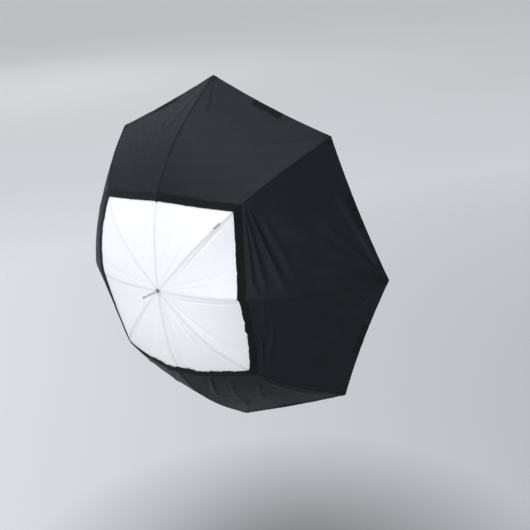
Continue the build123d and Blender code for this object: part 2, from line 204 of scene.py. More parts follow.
def fold_height(folds, gore, u, s):
    """How high a gore's folds stand, in metres."""
    x, height = u * half_width(s), np.zeros(np.broadcast(u, s).shape)
    for where, start, end, width, rise in folds:
        if where != gore:
            continue
        x0, x1 = (p[0] * half_width(p[1] * RIB_LENGTH) for p in (start, end))
        y0, y1 = (p[1] * RIB_LENGTH for p in (start, end))
        dx, dy = x1 - x0, y1 - y0
        long = math.hypot(dx, dy)
        t = ((x - x0) * dx + (s - y0) * dy) / long**2
        off = ((x - x0) * dy - (s - y0) * dx) / long
        spread = width / 1000 * (FOLD_NARROW + FOLD_SPREAD * np.clip(t, 0, 1))
        ridge = rise / 1000 * np.exp(-((off / spread) ** 2))
        height = height + ridge * smooth(t / FOLD_START) * smooth((1 - t) / FOLD_FADE)
    return height


def window_length(gore, u, side_share, corner_share):
    """Where the window's straight side crosses a gore, as a length along the ribs. It runs straight, seen along the
    shaft, from an even rib to a corner on an odd one."""
    first, last = (side_share, corner_share) if gore % 2 == 0 else (corner_share, side_share)
    r0, r1 = radius(first * RIB_LENGTH), radius(last * RIB_LENGTH)
    t = r0 * (1 + u) / (r0 + r1 - u * (r1 - r0))
    return length_at(r0 + t * (r1 - r0))


# How far the window's edge stands out further between two ribs, by gore. A low power makes it stand out squarely.
EDGE_BULGE = {1: 0.004, 2: 0.013, 3: 0.005, 4: 0.010, 5: 0.004, 6: 0.011}
BULGE_POWER, OUTER_BULGE = 0.42, 0.8  # the tape's outer edge has this share of it
# Sharper steps in it: gore, place across the gore, half width of the step, and its size.
EDGE_STEPS = (
    (4, -0.40, 0.04, -0.0045),
    (4, 0.15, 0.05, 0.0025),
    (3, 0.55, 0.03, -0.0022),
    (3, -0.30, 0.04, 0.0020),
    (2, 0.02, 0.03, 0.0022),
)
# How far the edge wanders there, by gore.
EDGE_WAVE = {0: 0.0010, 1: 0.0016, 2: 0.0030, 3: 0.0065, 4: 0.0070, 5: 0.0045, 6: 0.0060, 7: 0.0008}
EDGE_WAVELENGTHS = (0.9, 0.55, 0.31, 0.17)  # in half gore widths
NOTCH_RIB, NOTCH_DEPTH, NOTCH_WIDTH = 0, 0.0035, 0.035  # the width as a share of half a gore


def bulge(gore, u):
    """How far the edge stands out at a place across a gore, with its sharper steps."""
    total = EDGE_BULGE.get(gore, 0.0) * (1 - u**2) ** BULGE_POWER
    for where, place, half, size in EDGE_STEPS:
        if where == gore:
            total = total + size * np.tanh((u - place) / half) * (1 - u**2)
    return total


def notch(gore, u):
    """A small dip of the tape where it crosses one rib."""
    if gore not in (NOTCH_RIB, (NOTCH_RIB - 1) % RIBS):
        return 0.0
    at_rib = 1 + u if gore == NOTCH_RIB else 1 - u
    return NOTCH_DEPTH * np.exp(-((at_rib / NOTCH_WIDTH) ** 2))


def wander(gore, u, seed):
    """How the tape's edge wanders, from -0.5 to 0.5, between the ribs that hold it."""
    return (ripples(u, 0 * u, seed + gore, EDGE_WAVELENGTHS, 0.0) - 0.5) * (1 - u**2)


def tape_inner(gore, u):
    straight = window_length(gore, u, SIDE_SHARE, CORNER_SHARE)
    return straight + bulge(gore, u) + EDGE_WAVE[gore] * 2 * wander(gore, u, INNER_SEED) - notch(gore, u)


def tape_outer(gore, u):
    straight = window_length(gore, u, TAPE_SIDE_SHARE, TAPE_CORNER_SHARE)
    return straight + OUTER_BULGE * bulge(gore, u) + EDGE_WAVE[gore] * wander(gore, u, OUTER_SEED)


def hem(gore, u):
    return RIB_LENGTH - HEM_BOW * (1 - u**2)


def sag(gore, u, s):
    share = s / RIB_LENGTH
    return SAGS[gore] * (1 - u**2) * smooth(share / SAG_FULL) * (1 - EASE * smooth(share / EASE_FROM - 1))


def white_relief(gore, u, s):
    """The white canopy only ever lies further in than the smooth shape, so it stays under the cover."""
    x = u * half_width(s)
    free = smooth((1 - abs(u)) / WHITE_FREE)
    rough = WHITE_ROUGH * ripples(x, s, WHITE_SEED + gore, WHITE_WAVELENGTHS) * smooth(s / HUB_SMOOTH)
    return -sag(gore, u, s) - free * (rough + fold_height(CANOPY_FOLDS, gore, u, s))


def black_relief(gore, u, s):
    """The black cover only ever lies further out than the smooth shape."""
    x = u * half_width(s)
    free = smooth((1 - abs(u)) / BLACK_FREE)
    past_tape = s - tape_outer(gore, u)
    pucker = PUCKER * ripples(x, PUCKER_SLANT * s, PUCKER_SEED + gore, PUCKER_WAVELENGTHS, 0.0)
    pucker = pucker * np.exp(-np.clip(past_tape, 0, None) / PUCKER_FADE) * smooth(past_tape / PUCKER_RISE + 1)
    rough = BLACK_ROUGH * ripples(x, s, BLACK_SEED + gore, BLACK_WAVELENGTHS)
    return -sag(gore, u, s) + free * (rough + pucker + fold_height(COVER_FOLDS, gore, u, s))


LAYERS = {"white": (WHITE_LIFT, white_relief), "black": (BLACK_LIFT, black_relief)}


def lying(layer, gore, u, s, above=0.0):
    """Points on one layer's gore at place u across it and length s along its ribs, raised by above."""
    lift, relief = LAYERS[layer]
    u, s = np.broadcast_arrays(np.asarray(u, float), np.asarray(s, float))
    angle = (2 * gore + 1) * HALF_GORE
    out = np.array([math.sin(angle), 0.0, math.cos(angle)])
    side = np.array([math.cos(angle), 0.0, -math.sin(angle)])
    back = np.array([0.0, 1.0, 0.0])
    a = slope(s)
    r = radius(s) + lift * np.sin(a)
    depth = CROWN_Y + np.interp(s, LENGTHS, DEPTHS) - lift * np.cos(a)
    high = relief(gore, u, s) + above
    normal_long = np.hypot(np.sin(a), COS * np.cos(a))
    outwards, backwards = np.sin(a) / normal_long, -COS * np.cos(a) / normal_long
    return (
        (r * COS + high * outwards)[..., None] * out
        + (u * r * SIN)[..., None] * side
        + (depth + high * backwards)[..., None] * back
    )


def facing(layer, gore, u, s):
    """Unit normals of the layer, outwards, from small steps across and along the gore."""
    du = NORMAL_STEP / np.maximum(half_width(s), LEAST_HALF_WIDTH)
    across = lying(layer, gore, np.clip(u + du, -1, 1), s) - lying(layer, gore, np.clip(u - du, -1, 1), s)
    along = lying(layer, gore, u, s + NORMAL_STEP) - lying(layer, gore, u, s - NORMAL_STEP)
    n = np.cross(across, along)
    n = n / np.linalg.norm(n, axis=-1, keepdims=True)
    angle = (2 * gore + 1) * HALF_GORE
    tip_side = np.array([math.sin(angle), -1.0, math.cos(angle)])
    return n * np.sign(n @ tip_side)[..., None]


# ---- Meshes ----


def link(name, vertices, faces, uv=None, normals=None, soft=True):
    mesh = bpy.data.meshes.new(name)
    mesh.from_pydata([tuple(v) for v in vertices], [], faces)
    if uv is not None:
        layer = mesh.uv_layers.new(name="cloth")
        corner = np.zeros(len(mesh.loops), np.int32)
        mesh.loops.foreach_get("vertex_index", corner)
        layer.data.foreach_set("uv", np.asarray(uv, np.float32)[corner].ravel())
    if soft:
        mesh.polygons.foreach_set("use_smooth", [True] * len(mesh.polygons))
    if normals is not None:
        mesh.normals_split_custom_set_from_vertices([tuple(n) for n in normals])
    mesh.update()
    piece = bpy.data.objects.new(name, mesh)
    bpy.context.scene.collection.objects.link(piece)
    return piece


def grid_faces(rows, columns, first=0, flip=False):
    faces = []
    for i in range(rows - 1):
        for j in range(columns - 1):
            a = first + i * columns + j
            quad = (a, a + 1, a + columns + 1, a + columns)
            faces.append(quad[::-1] if flip else quad)
    return faces


def slab(name, top, bottom, uv, inwards=False):
    """A thin closed piece between two grids of points. inwards says that its top lies on the bowl's side."""
    if inwards:
        top, bottom, uv = top[:, ::-1], bottom[:, ::-1], uv[:, ::-1]
    rows, columns = top.shape[:2]
    count = rows * columns
    vertices = np.concatenate([top.reshape(-1, 3), bottom.reshape(-1, 3)])
    faces = grid_faces(rows, columns) + grid_faces(rows, columns, count, flip=True)
    edge = list(range(columns))
    edge += [i * columns + columns - 1 for i in range(1, rows)]
    edge += [(rows - 1) * columns + j for j in range(columns - 2, -1, -1)]
    edge += [i * columns for i in range(rows - 2, 0, -1)]
    walls = [(b, a, a + count, b + count) for a, b in zip(edge, edge[1:] + edge[:1])]
    piece = link(name, vertices, faces + walls, np.concatenate([uv.reshape(-1, 2)] * 2))
    for wall in piece.data.polygons[len(faces) :]:
        wall.use_smooth = False
    return piece


def panel_columns():
    """Places across a rib's panel, as (which neighbouring gore, place across it), from one edge to the other."""
    count = max(LEAST_CELLS, int(round(half_width(RIB_LENGTH) / CELL)))
    rest = np.linspace(NEAR_RIB[-1], 1.0, count)[1:]
    away = np.concatenate([NEAR_RIB, rest])
    left = [(-1, 1 - q) for q in away[::-1]]
    right = [(0, q - 1) for q in away[1:]]
    return left + right


COLUMNS = panel_columns()
SAMPLES = [(g, np.float64(u)) for g in (0, 1) for u in (-1.0, 0.0, 1.0)]  # both kinds of gore, at ribs and middle


def panel_grid(layer, k, start, end, columns, shares, high=0.0):
    """Points and UVs of a grid on rib k's panel between two lengths, each a function of gore and place."""
    shares = np.asarray(shares, float)[:, None]
    high = np.broadcast_to(high, (len(shares), len(columns)))
    points, uv = np.empty((*high.shape, 3)), np.empty((*high.shape, 2))
    for side in (-1, 0):
        chosen = [i for i, column in enumerate(columns) if column[0] == side]
        u = np.array([columns[i][1] for i in chosen])[None, :]
        gore = (k + side) % RIBS
        low, far = start(gore, u), end(gore, u)
        s = low + (far - low) * shares
        points[:, chosen] = lying(layer, gore, u, s, high[:, chosen])
        uv[:, chosen] = np.stack([(u - 1 if side == -1 else u + 1) * half_width(s), s], -1)
    return points, uv


def panel_normals(layer, k, columns, uv):
    """Unit normals for the points of a grid, given their lengths along the ribs."""
    normals = np.empty((*uv.shape[:2], 3))
    for side in (-1, 0):
        chosen = [i for i, column in enumerate(columns) if column[0] == side]
        u = np.array([columns[i][1] for i in chosen])[None, :]
        normals[:, chosen] = facing(layer, (k + side) % RIBS, u, uv[:, chosen, 1])
    rib = columns.index((-1, 1.0))
    both = normals[:, rib] + facing(layer, k, -1.0, uv[:, rib, 1])
    normals[:, rib] = both / np.linalg.norm(both, axis=-1, keepdims=True)
    return normals


def cloth_panel(name, layer, k, start, end):
    """One rib's share of a layer of cloth."""
    longest = max(float(end(g, u) - start(g, u)) for g, u in SAMPLES)
    rows = max(LEAST_CELLS, int(round(longest / CELL)))
    points, uv = panel_grid(layer, k, start, end, COLUMNS, np.linspace(0, 1, rows + 1))
    normals = panel_normals(layer, k, COLUMNS, uv)
    faces = grid_faces(*points.shape[:2])
    return link(name, points.reshape(-1, 3), faces, uv.reshape(-1, 2), normals.reshape(-1, 3))


# The rounded section of a strip or patch, across its width, and the rise of the first columns at its ends
EDGE_SHARES = np.array([0, 0.02, 0.06, 0.14, 0.32, 0.5, 0.68, 0.86, 0.94, 0.98, 1.0])
EDGE_RISE = np.array([0.0, 0.62, 0.9, 1, 1, 1, 1, 1, 0.9, 0.62, 0.0])
END_RISE = (0.0, 0.8)
# A felled seam's section: two low ridges
SEAM_SHARES = np.array([-0.5, -0.46, -0.3, -0.16, 0.0, 0.16, 0.3, 0.46, 0.5])
SEAM_RIDGES = np.array([0.0, 0.8, 1.0, 0.9, 0.75, 0.9, 1.0, 0.8, 0.0])
SEAM_UNDER = 0.00005  # how deep it sits in the cloth


def raised(name, layer, k, start, end, columns, rise, under, ends=(True, True), inwards=False):
    """A strip or patch sewn on a layer, with rounded edges, from rise above it to under below it. ends says which of
    its two sides across are edges: at the others it goes on in the next rib's panel."""
    near = np.ones(len(columns))
    if ends[0]:
        near[:2] = END_RISE
    if ends[1]:
        near[-2:] = END_RISE[::-1]
    sign = -1.0 if inwards else 1.0
    top, uv = panel_grid(layer, k, start, end, columns, EDGE_SHARES, sign * rise * EDGE_RISE[:, None] * near)
    bottom, _ = panel_grid(layer, k, start, end, columns, EDGE_SHARES, -sign * under)
    return slab(name, top, bottom, uv, inwards)


def strip_on_rib(name, layer, k, start, end, width, rise):
    """A felled seam: a narrow strip along rib k, as wide as width, from length start to length end."""
    lengths = np.linspace(start, end, int((end - start) / CELL) + 2)
    offsets = SEAM_SHARES * width
    tops, bottoms = [], []
    for offset, high in zip(offsets, SEAM_RIDGES * rise):
        gore = (k - 1) % RIBS if offset < 0 else k
        u = 1 - abs(offset) / half_width(lengths)
        u = u if offset < 0 else -u
        tops.append(lying(layer, gore, u, lengths, high))
        bottoms.append(lying(layer, gore, u, lengths, -SEAM_UNDER))
    top, bottom = np.stack(tops, 1), np.stack(bottoms, 1)
    uv = np.stack(np.broadcast_arrays(offsets[None, :], lengths[:, None]), -1)
    return slab(name, top, bottom, uv)


STITCH, STITCH_GAP, STITCH_R = 0.0028, 0.0010, 0.00034
STITCH_CROWN = 1.3  # how much higher than wide a stitch stands


def stitch_rows(name, rows):
    """Thread along several lines. A line is (layer, gore, places, lengths, height), and a stitch is a small lens."""
    vertices, faces = [], []
    for layer, gore, places, lengths, above in rows:
        line = lying(layer, gore, places, lengths, above)
        normals = facing(layer, gore, places, lengths)
        steps = np.linalg.norm(np.diff(line, axis=0), axis=1)
        along = np.concatenate([[0.0], np.cumsum(steps)])
        for begin in np.arange(STITCH_GAP, along[-1] - STITCH, STITCH + STITCH_GAP):
            a, b, n = (
                np.array([np.interp(t, along, source[:, i]) for i in range(3)])
                for t, source in ((begin, line), (begin + STITCH, line), (begin + STITCH / 2, normals))
            )
            middle, direction = (a + b) / 2, (b - a) / np.linalg.norm(b - a)
            n = n * math.copysign(1.0, above)
            side = np.cross(direction, n) * STITCH_R
            first = len(vertices)
            top = middle + n * STITCH_R * STITCH_CROWN
            vertices += [a, middle + side, b, middle - side, top, middle - n * STITCH_R]
            for i in range(4):
                faces.append((first + i, first + (i + 1) % 4, first + 4))
                faces.append((first + (i + 1) % 4, first + i, first + 5))
    return link(name, vertices, faces, [(v[0], v[2]) for v in vertices])


def ring_sweep(name, centres, axes, section, turns):
    """Round pieces in one mesh: for each centre and axis, a closed section of (radius, height) turned about it."""
    vertices, faces = [], []
    size = len(section)
    for centre, axis in zip(centres, axes):
        axis = Vector(axis).normalized()
        across = axis.orthogonal().normalized()
        other = axis.cross(across)
        first = len(vertices)
        for i in range(turns):
            angle = 2 * math.pi * i / turns
            spoke = across * math.cos(angle) + other * math.sin(angle)
            vertices += [Vector(centre) + spoke * r + axis * h for r, h in section]
        for i in range(turns):
            here, there = first + i * size, first + (i + 1) % turns * size
            for j in range(size):
                after = (j + 1) % size
                faces.append((here + j, here + after, there + after, there + j))
    return link(name, vertices, faces, [(v[0], v[2]) for v in vertices])


def round_section(middle, thick, count=8):
    """A circle of radius thick, at middle from the axis."""
    angles = [2 * math.pi * i / count for i in range(count)]
    return [(middle + thick * math.cos(a), thick * math.sin(a)) for a in angles]


# ---- Materials ----

# How fine the patterns are: the scales of their noises, per metre
CLOTH_TONE, CLOTH_WEAR, CLOTH_CREASE = 14.0, 60.0, 38.0
PILE_TONE, PILE_FUZZ = 90.0, 260.0
METAL_LINES, METAL_MARKS = 420.0, 34.0
PLASTIC_TONE, PLASTIC_WEAR, PLASTIC_GRAIN = 55.0, 120.0, 1400.0
FLOOR_TONE, FLOOR_WEAR = 0.25, 3.0
# How deep their bumps are, in metres, or as a share of the thread or fibre
WEAVE_DEPTH, WEAVE_STRENGTH, LOOP_DEPTH = 0.18, 0.6, 0.8
FUZZ_DEPTH, LINE_DEPTH, GRAIN_DEPTH = 0.0004, 0.00002, 0.00006


def shader_of(name):
    material = bpy.data.materials.new(name)
    material.use_nodes = True
    return material, material.node_tree, material.node_tree.nodes["Principled BSDF"]


def put(tree, kind, **inputs):
    node = tree.nodes.new(kind)
    for key, value in inputs.items():
        node.inputs[key.replace("_", " ")].default_value = value
    return node


def place_on(tree, cloth):
    """The coordinates a pattern follows: metres on the flat cloth, or metres in the row frame."""
    if cloth:
        node = tree.nodes.new("ShaderNodeUVMap")
        node.uv_map = "cloth"
        return node.outputs["UV"]
    return tree.nodes.new("ShaderNodeTexCoord").outputs["Object"]


def noise(tree, place, scale, detail=3.0, roughness=0.55):
    node = put(tree, "ShaderNodeTexNoise", Scale=scale, Detail=detail, Roughness=roughness)
    tree.links.new(place, node.inputs["Vector"])
    return node.outputs["Fac"]


def maths(tree, operation, a, b=None):
    node = tree.nodes.new("ShaderNodeMath")
    node.operation = operation
    for socket, value in zip(node.inputs, (a, b)):
        if isinstance(value, bpy.types.NodeSocket):
            tree.links.new(value, socket)
        elif value is not None:
            socket.default_value = value
    return node.outputs[0]


def mapped(tree, value, low, high, from_low=0.3, from_high=0.7):
    node = put(tree, "ShaderNodeMapRange")
    node.inputs["From Min"].default_value, node.inputs["From Max"].default_value = from_low, from_high
    node.inputs["To Min"].default_value, node.inputs["To Max"].default_value = low, high
    tree.links.new(value, node.inputs["Value"])
    return node.outputs[0]


def tinted(tree, value, first, last, low=0.3, high=0.7):
    """A colour that runs from first to last as value runs from low to high."""
    ramp = tree.nodes.new("ShaderNodeValToRGB")
    ramp.color_ramp.elements[0].position, ramp.color_ramp.elements[1].position = low, high
    ramp.color_ramp.elements[0].color, ramp.color_ramp.elements[1].color = (*first, 1), (*last, 1)
    tree.links.new(value, ramp.inputs["Fac"])
    return ramp.outputs["Color"]


def bumped(tree, height, distance, strength=1.0, under=None):
    node = put(tree, "ShaderNodeBump", Strength=strength, Distance=distance)
    tree.links.new(height, node.inputs["Height"])
    if under is not None:
        tree.links.new(under, node.inputs["Normal"])
    return node.outputs["Normal"]


def weave(tree, place, thread):
    """Plain weave: threads cross over and under each other, a thread's width apart."""
    parts = tree.nodes.new("ShaderNodeSeparateXYZ")
    tree.links.new(place, parts.inputs[0])
    turns = (maths(tree, "MULTIPLY", parts.outputs[i], math.pi / thread) for i in (0, 1))
    across, along = (maths(tree, "SINE", turn) for turn in turns)
    return maths(tree, "MULTIPLY", across, along)


def fabric(name, light, dark, thread, roughness, sheen=0.0, specular=0.5, through=0.0, wrinkle=0.0004):
    """Woven cloth. through is the share of light that passes it."""
    material, tree, shader = shader_of(name)
    place = place_on(tree, cloth=True)
    tree.links.new(tinted(tree, noise(tree, place, CLOTH_TONE, 4.0), dark, light), shader.inputs["Base Color"])
    worn = mapped(tree, noise(tree, place, CLOTH_WEAR), roughness - 0.05, roughness + 0.06)
    tree.links.new(worn, shader.inputs["Roughness"])
    shader.inputs["Specular IOR Level"].default_value = specular
    shader.inputs["Sheen Weight"].default_value = sheen
    shader.inputs["Sheen Roughness"].default_value = 0.4
    creased = bumped(tree, noise(tree, place, CLOTH_CREASE, 5.0, 0.6), wrinkle)
    woven = bumped(tree, weave(tree, place, thread), thread * WEAVE_DEPTH, WEAVE_STRENGTH, creased)
    tree.links.new(woven, shader.inputs["Normal"])
    if through:
        behind = put(tree, "ShaderNodeBsdfTranslucent", Color=(*light, 1))
        mix = put(tree, "ShaderNodeMixShader", Fac=through)
        tree.links.new(woven, behind.inputs["Normal"])
        tree.links.new(shader.outputs[0], mix.inputs[1])
        tree.links.new(behind.outputs[0], mix.inputs[2])
        tree.links.new(mix.outputs[0], tree.nodes["Material Output"].inputs["Surface"])
    return material


def pile(name, light, dark, fibre):
    """Hook-and-loop tape: a mat of fine loops."""
    material, tree, shader = shader_of(name)
    place = place_on(tree, cloth=True)
    loops = put(tree, "ShaderNodeTexVoronoi", Scale=1.0 / fibre)
    tree.links.new(place, loops.inputs["Vector"])
    tree.links.new(tinted(tree, noise(tree, place, PILE_TONE, 5.0), dark, light), shader.inputs["Base Color"])
    tree.links.new(mapped(tree, loops.outputs["Distance"], 0.85, 0.95, 0, 1), shader.inputs["Roughness"])
    shader.inputs["Sheen Weight"].default_value = 0.03
    shader.inputs["Specular IOR Level"].default_value = 0.08
    rough = bumped(tree, loops.outputs["Distance"], fibre * LOOP_DEPTH)
    fuzz = bumped(tree, noise(tree, place, PILE_FUZZ, 4.0), FUZZ_DEPTH, under=rough)
    tree.links.new(fuzz, shader.inputs["Normal"])
    return material


def metal(name, light, dark, roughness, grain=(1.0, 0.06, 1.0)):
    """Drawn or plated metal: fine lines, drawn out along the shaft unless grain says otherwise, and marks that
    dull it here and there."""
    material, tree, shader = shader_of(name)
    place = place_on(tree, cloth=False)
    stretch = put(tree, "ShaderNodeMapping")
    stretch.inputs["Scale"].default_value = grain
    tree.links.new(place, stretch.inputs["Vector"])
    lines = noise(tree, stretch.outputs[0], METAL_LINES, 6.0, 0.7)
    marks = noise(tree, place, METAL_MARKS, 4.0)
    tree.links.new(tinted(tree, marks, dark, light, 0.25, 0.6), shader.inputs["Base Color"])
    scratched, rubbed = mapped(tree, lines, roughness * 0.8, roughness * 1.25), mapped(tree, marks, 0.05, 0.0)
    tree.links.new(maths(tree, "ADD", scratched, rubbed), shader.inputs["Roughness"])
    tree.links.new(bumped(tree, lines, LINE_DEPTH), shader.inputs["Normal"])
    shader.inputs["Metallic"].default_value = 1.0
    return material


def moulded(name, light, dark, roughness):
    """Moulded plastic with a fine grain, lighter where it is rubbed."""
    material, tree, shader = shader_of(name)
    place = place_on(tree, cloth=False)
    tree.links.new(tinted(tree, noise(tree, place, PLASTIC_TONE, 4.0), dark, light), shader.inputs["Base Color"])
    worn = mapped(tree, noise(tree, place, PLASTIC_WEAR), roughness - 0.08, roughness + 0.1)
    tree.links.new(worn, shader.inputs["Roughness"])
    tree.links.new(bumped(tree, noise(tree, place, PLASTIC_GRAIN), GRAIN_DEPTH), shader.inputs["Normal"])
    return material


BLACK_CLOTH = fabric(
    "black_nylon", (0.0112, 0.0120, 0.0160), (0.0096, 0.0103, 0.0138), 0.00045, 0.44, specular=0.08
)
WHITE_CLOTH = fabric(
    "white_nylon", (0.82, 0.824, 0.832), (0.785, 0.791, 0.803), 0.00040, 0.55, sheen=0.05, through=0.22,
    wrinkle=0.0006,
)
# painted shade: a greyer copy of the white nylon for doubled cloth (seams, hems, hub patch), which lets less light
# through
WHITE_SEAM_SHADED = fabric(
    "white_seam", (0.755, 0.76, 0.77), (0.715, 0.72, 0.735), 0.00040, 0.6, through=0.17, wrinkle=0.0003
)
TAPE = pile("hook_and_loop", (0.0088, 0.0088, 0.0098), (0.0056, 0.0056, 0.0064), 0.0008)
BINDING = fabric("black_binding", (0.0092, 0.0093, 0.0105), (0.0068, 0.0068, 0.0078), 0.0007, 0.6, specular=0.1)
BLACK_THREAD = fabric("black_thread", (0.030, 0.030, 0.034), (0.018, 0.018, 0.021), 0.0003, 0.5, specular=0.2)
WHITE_THREAD = fabric("white_thread", (0.46, 0.47, 0.49), (0.36, 0.37, 0.39), 0.0003, 0.6)
# a darker grey for a small mark on the white cloth over rib 1's stretcher joint
JOINT_MARK_GREY = fabric("joint_mark_grey", (0.34, 0.34, 0.36), (0.22, 0.22, 0.24), 0.0005, 0.7, wrinkle=0.0008)
SHAFT_STEEL = metal("plated_tube", (0.76, 0.77, 0.79), (0.62, 0.63, 0.66), 0.20)
FERRULE_STEEL = metal("ferrule_steel", (0.66, 0.68, 0.70), (0.52, 0.54, 0.57), 0.28)
RIB_STEEL = metal("rib_spring_steel", (0.56, 0.56, 0.57), (0.42, 0.42, 0.43), 0.32, grain=(0.4, 0.4, 0.4))
STRETCHER_STEEL = metal("stretcher_wire", (0.70, 0.70, 0.71), (0.56, 0.56, 0.57), 0.26, grain=(0.3, 0.3, 0.3))
WASHER_NICKEL = metal("washer_nickel", (0.82, 0.80, 0.76), (0.60, 0.56, 0.50), 0.30, grain=(1, 1, 1))
CATCH_STEEL = metal("catch_steel", (0.66, 0.66, 0.68), (0.5, 0.5, 0.52), 0.25)
BLACK_PLASTIC = moulded("black_plastic", (0.026, 0.026, 0.028), (0.016, 0.016, 0.017), 0.42)
# painted shade: a dark brownish colour for the ring that stands in for the shadowed gap between ferrule and washer
GAP_SHADE_BROWN = moulded("gap_shade_brown", (0.10, 0.085, 0.075), (0.06, 0.05, 0.045), 0.6)


def dress(piece, material):
    piece.data.materials.append(material)
    return piece


def finish_node(name, material):
    for place in nodes[name].material_slots:
        place.material = material


for name, material in {
    "shaft": SHAFT_STEEL,
    "shaft_plug": BLACK_PLASTIC,
    "runner_stop": BLACK_PLASTIC,
    "ferrule": FERRULE_STEEL,
    "crown_washer": WASHER_NICKEL,
    "crown": BLACK_PLASTIC,
    "crown_wire": STRETCHER_STEEL,
    "spring_catch": CATCH_STEEL,
    "runner": BLACK_PLASTIC,
    "runner_wire": STRETCHER_STEEL,
}.items():
    finish_node(name, material)
for k in range(RIBS):
    finish_node(f"rib_inner_{k}", RIB_STEEL)
    finish_node(f"rib_outer_{k}", RIB_STEEL)
    finish_node(f"stretcher_{k}", STRETCHER_STEEL)


# ---- The cloth and everything sewn on it ----


HUB_OVERLAP = 0.003  # the cloth starts this far out from the hub's hole, under the patch


def hub_edge(gore, u):
    return length_at(HUB_HOLE_R + HUB_OVERLAP) + 0 * u


def split_line(gore, u):
    """Where the white cloth's two panels meet: a line square to the rib, seen along the shaft."""
    joint = radius(JOINT_SHARE * RIB_LENGTH) + WHITE_LIFT * math.sin(slope(JOINT_SHARE * RIB_LENGTH))
    return length_at(joint / (COS**2 + abs(u) * SIN**2))


def shifted(line, by):
    return lambda gore, u: line(gore, u) + by


def cut_area(start, end):
    """The flat area of rib 0's panel between two lines, in narrow slices from the middle of each gore to the rib."""
    total, slices, points = 0.0, 24, 40
    for i in range(slices):
        u = 1 - (i + 0.5) / slices
        for gore, place in ((RIBS - 1, u), (0, -u)):
            low, high = (float(f(gore, np.float64(place))) for f in (start, end))
            lengths = np.linspace(low, high, points)
            total += float(np.mean(half_width(lengths))) * (high - low) / slices
    return total


def cut(start, end):
    """What a panel was cut to: its width, its length and its area."""
    far = max(float(end(g, u)) for g, u in SAMPLES)
    near = min(float(start(g, u)) for g, u in SAMPLES)
    return (2 * float(half_width(far)), far - near), cut_area(start, end)


def goes_with(piece, k, part):
    """The piece rides on one part of rib k, with a mesh of its own."""
    body = f"rib_{part}_{k}"
    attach(piece, body)
    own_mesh(piece)


def on_line(k, line, first_q, by, above, layer="black"):
    """Stitch lines that follow a line across both halves of rib k's panel, from first_q away from the rib."""
    rows = []
    for side in (-1, 0):
        gore = (k + side) % RIBS
        q = np.linspace(first_q, 1.0, LINE_POINTS)
        u = 1 - q if side == -1 else q - 1
        rows.append((layer, gore, u, line(gore, u) + by, above))
    return rows


def along_rib(k, offset, start, end, layer, above):
    """Stitch lines along rib k, this far from it on both sides."""
    lengths = np.linspace(start, end, SEAM_POINTS)
    rows = []
    for side, sign in ((-1, 1), (0, -1)):
        u = sign * (1 - offset / half_width(lengths))
        rows.append((layer, (k + side) % RIBS, u, lengths, above))
    return rows


LINE_POINTS, SEAM_POINTS = 40, 60  # along each line of stitches
TAPE_RISE, TAPE_UNDER, TAPE_STITCH_IN, TAPE_STITCH_FROM = 0.0011, 0.0003, 0.0022, 0.01
HEM_WIDTH, HEM_RISE, HEM_OVER, HEM_WRAP = 0.012, 0.0004, 0.0012, 0.0004
HEM_STITCH_IN, HEM_STITCH_FROM = 0.0015, 0.08
SEAM_WIDTH, WHITE_SEAM_WIDTH, SEAM_RISE, WHITE_SEAM_RISE = 0.0036, 0.0080, 0.0007, 0.00018
SEAM_STITCH, WHITE_SEAM_STITCH = 0.33, 0.42  # shares of the seam's width from the rib out to its stitches
SEAM_SHORT, WHITE_SEAM_START, WHITE_STITCH_START = 0.002, 0.010, 0.026
PATCH_HALF, PATCH_WIDTH, PATCH_IN, PATCH_STITCH_IN = 0.046, 0.0165, 0.0008, 0.0018
PATCH_RISE, PATCH_UNDER, PATCH_STITCHED = TAPE_RISE * 1.3, 0.0002, 0.96  # the last is the share stitched
POCKET_LENGTH, POCKET_HALF, POCKET_RISE, POCKET_OVER, POCKET_UNDER = 0.030, 0.016, 0.0013, 0.0018, 0.0002
POCKET_BACK, POCKET_TAPER, POCKET_POWER = 0.001, 0.94, 1.1  # its setback, and how it narrows up the rib
LINER_RISE, LINER_OVER, LINER_UNDER = 0.0052, 0.0016, -0.0046  # it hangs clear of the cloth, inside the rib's end
# a small grey strip on the white cloth over one rib's stretcher joint: its rib, its place as a share of the rib, its
# length, width and rise
MARK_RIB, MARK_SHARE, MARK_LENGTH, MARK_WIDTH, MARK_RISE = 1, 0.412, 0.022, 0.0055, 0.0006
TIES = ((0.16, "inner"), (0.62, "outer"), (0.84, "outer"))
TIE_TURNS, TIE_PITCH, TIE_HALF, TIE_R, THREAD_R = 5, 0.0007, 0.0014, 0.0019, 0.00035


def patch_columns(side):
    """Columns from the middle of the gore to the patch's end, on one side of the rib."""
    reach = PATCH_HALF / half_width(RIB_LENGTH - PATCH_IN)
    places = np.concatenate([np.linspace(0, reach * 0.97, 10), [reach * 0.99, reach]])
    if side == -1:
        return [(-1, float(p)) for p in places]
    return [(0, -float(p)) for p in places[::-1]]


def pocket_columns():
    half = POCKET_HALF / half_width(RIB_LENGTH)
    q = np.linspace(0, half, 9)
    return [(-1, 1 - float(x)) for x in q[::-1]] + [(0, float(x) - 1) for x in q[1:]]


def pocket_top(gore, u):
    """The pocket narrows to a point, up the rib."""
    away = (1 - abs(u)) * half_width(RIB_LENGTH) / POCKET_HALF
    return RIB_LENGTH - POCKET_BACK - POCKET_LENGTH * (1 - POCKET_TAPER * np.clip(away, 0, 1) ** POCKET_POWER)


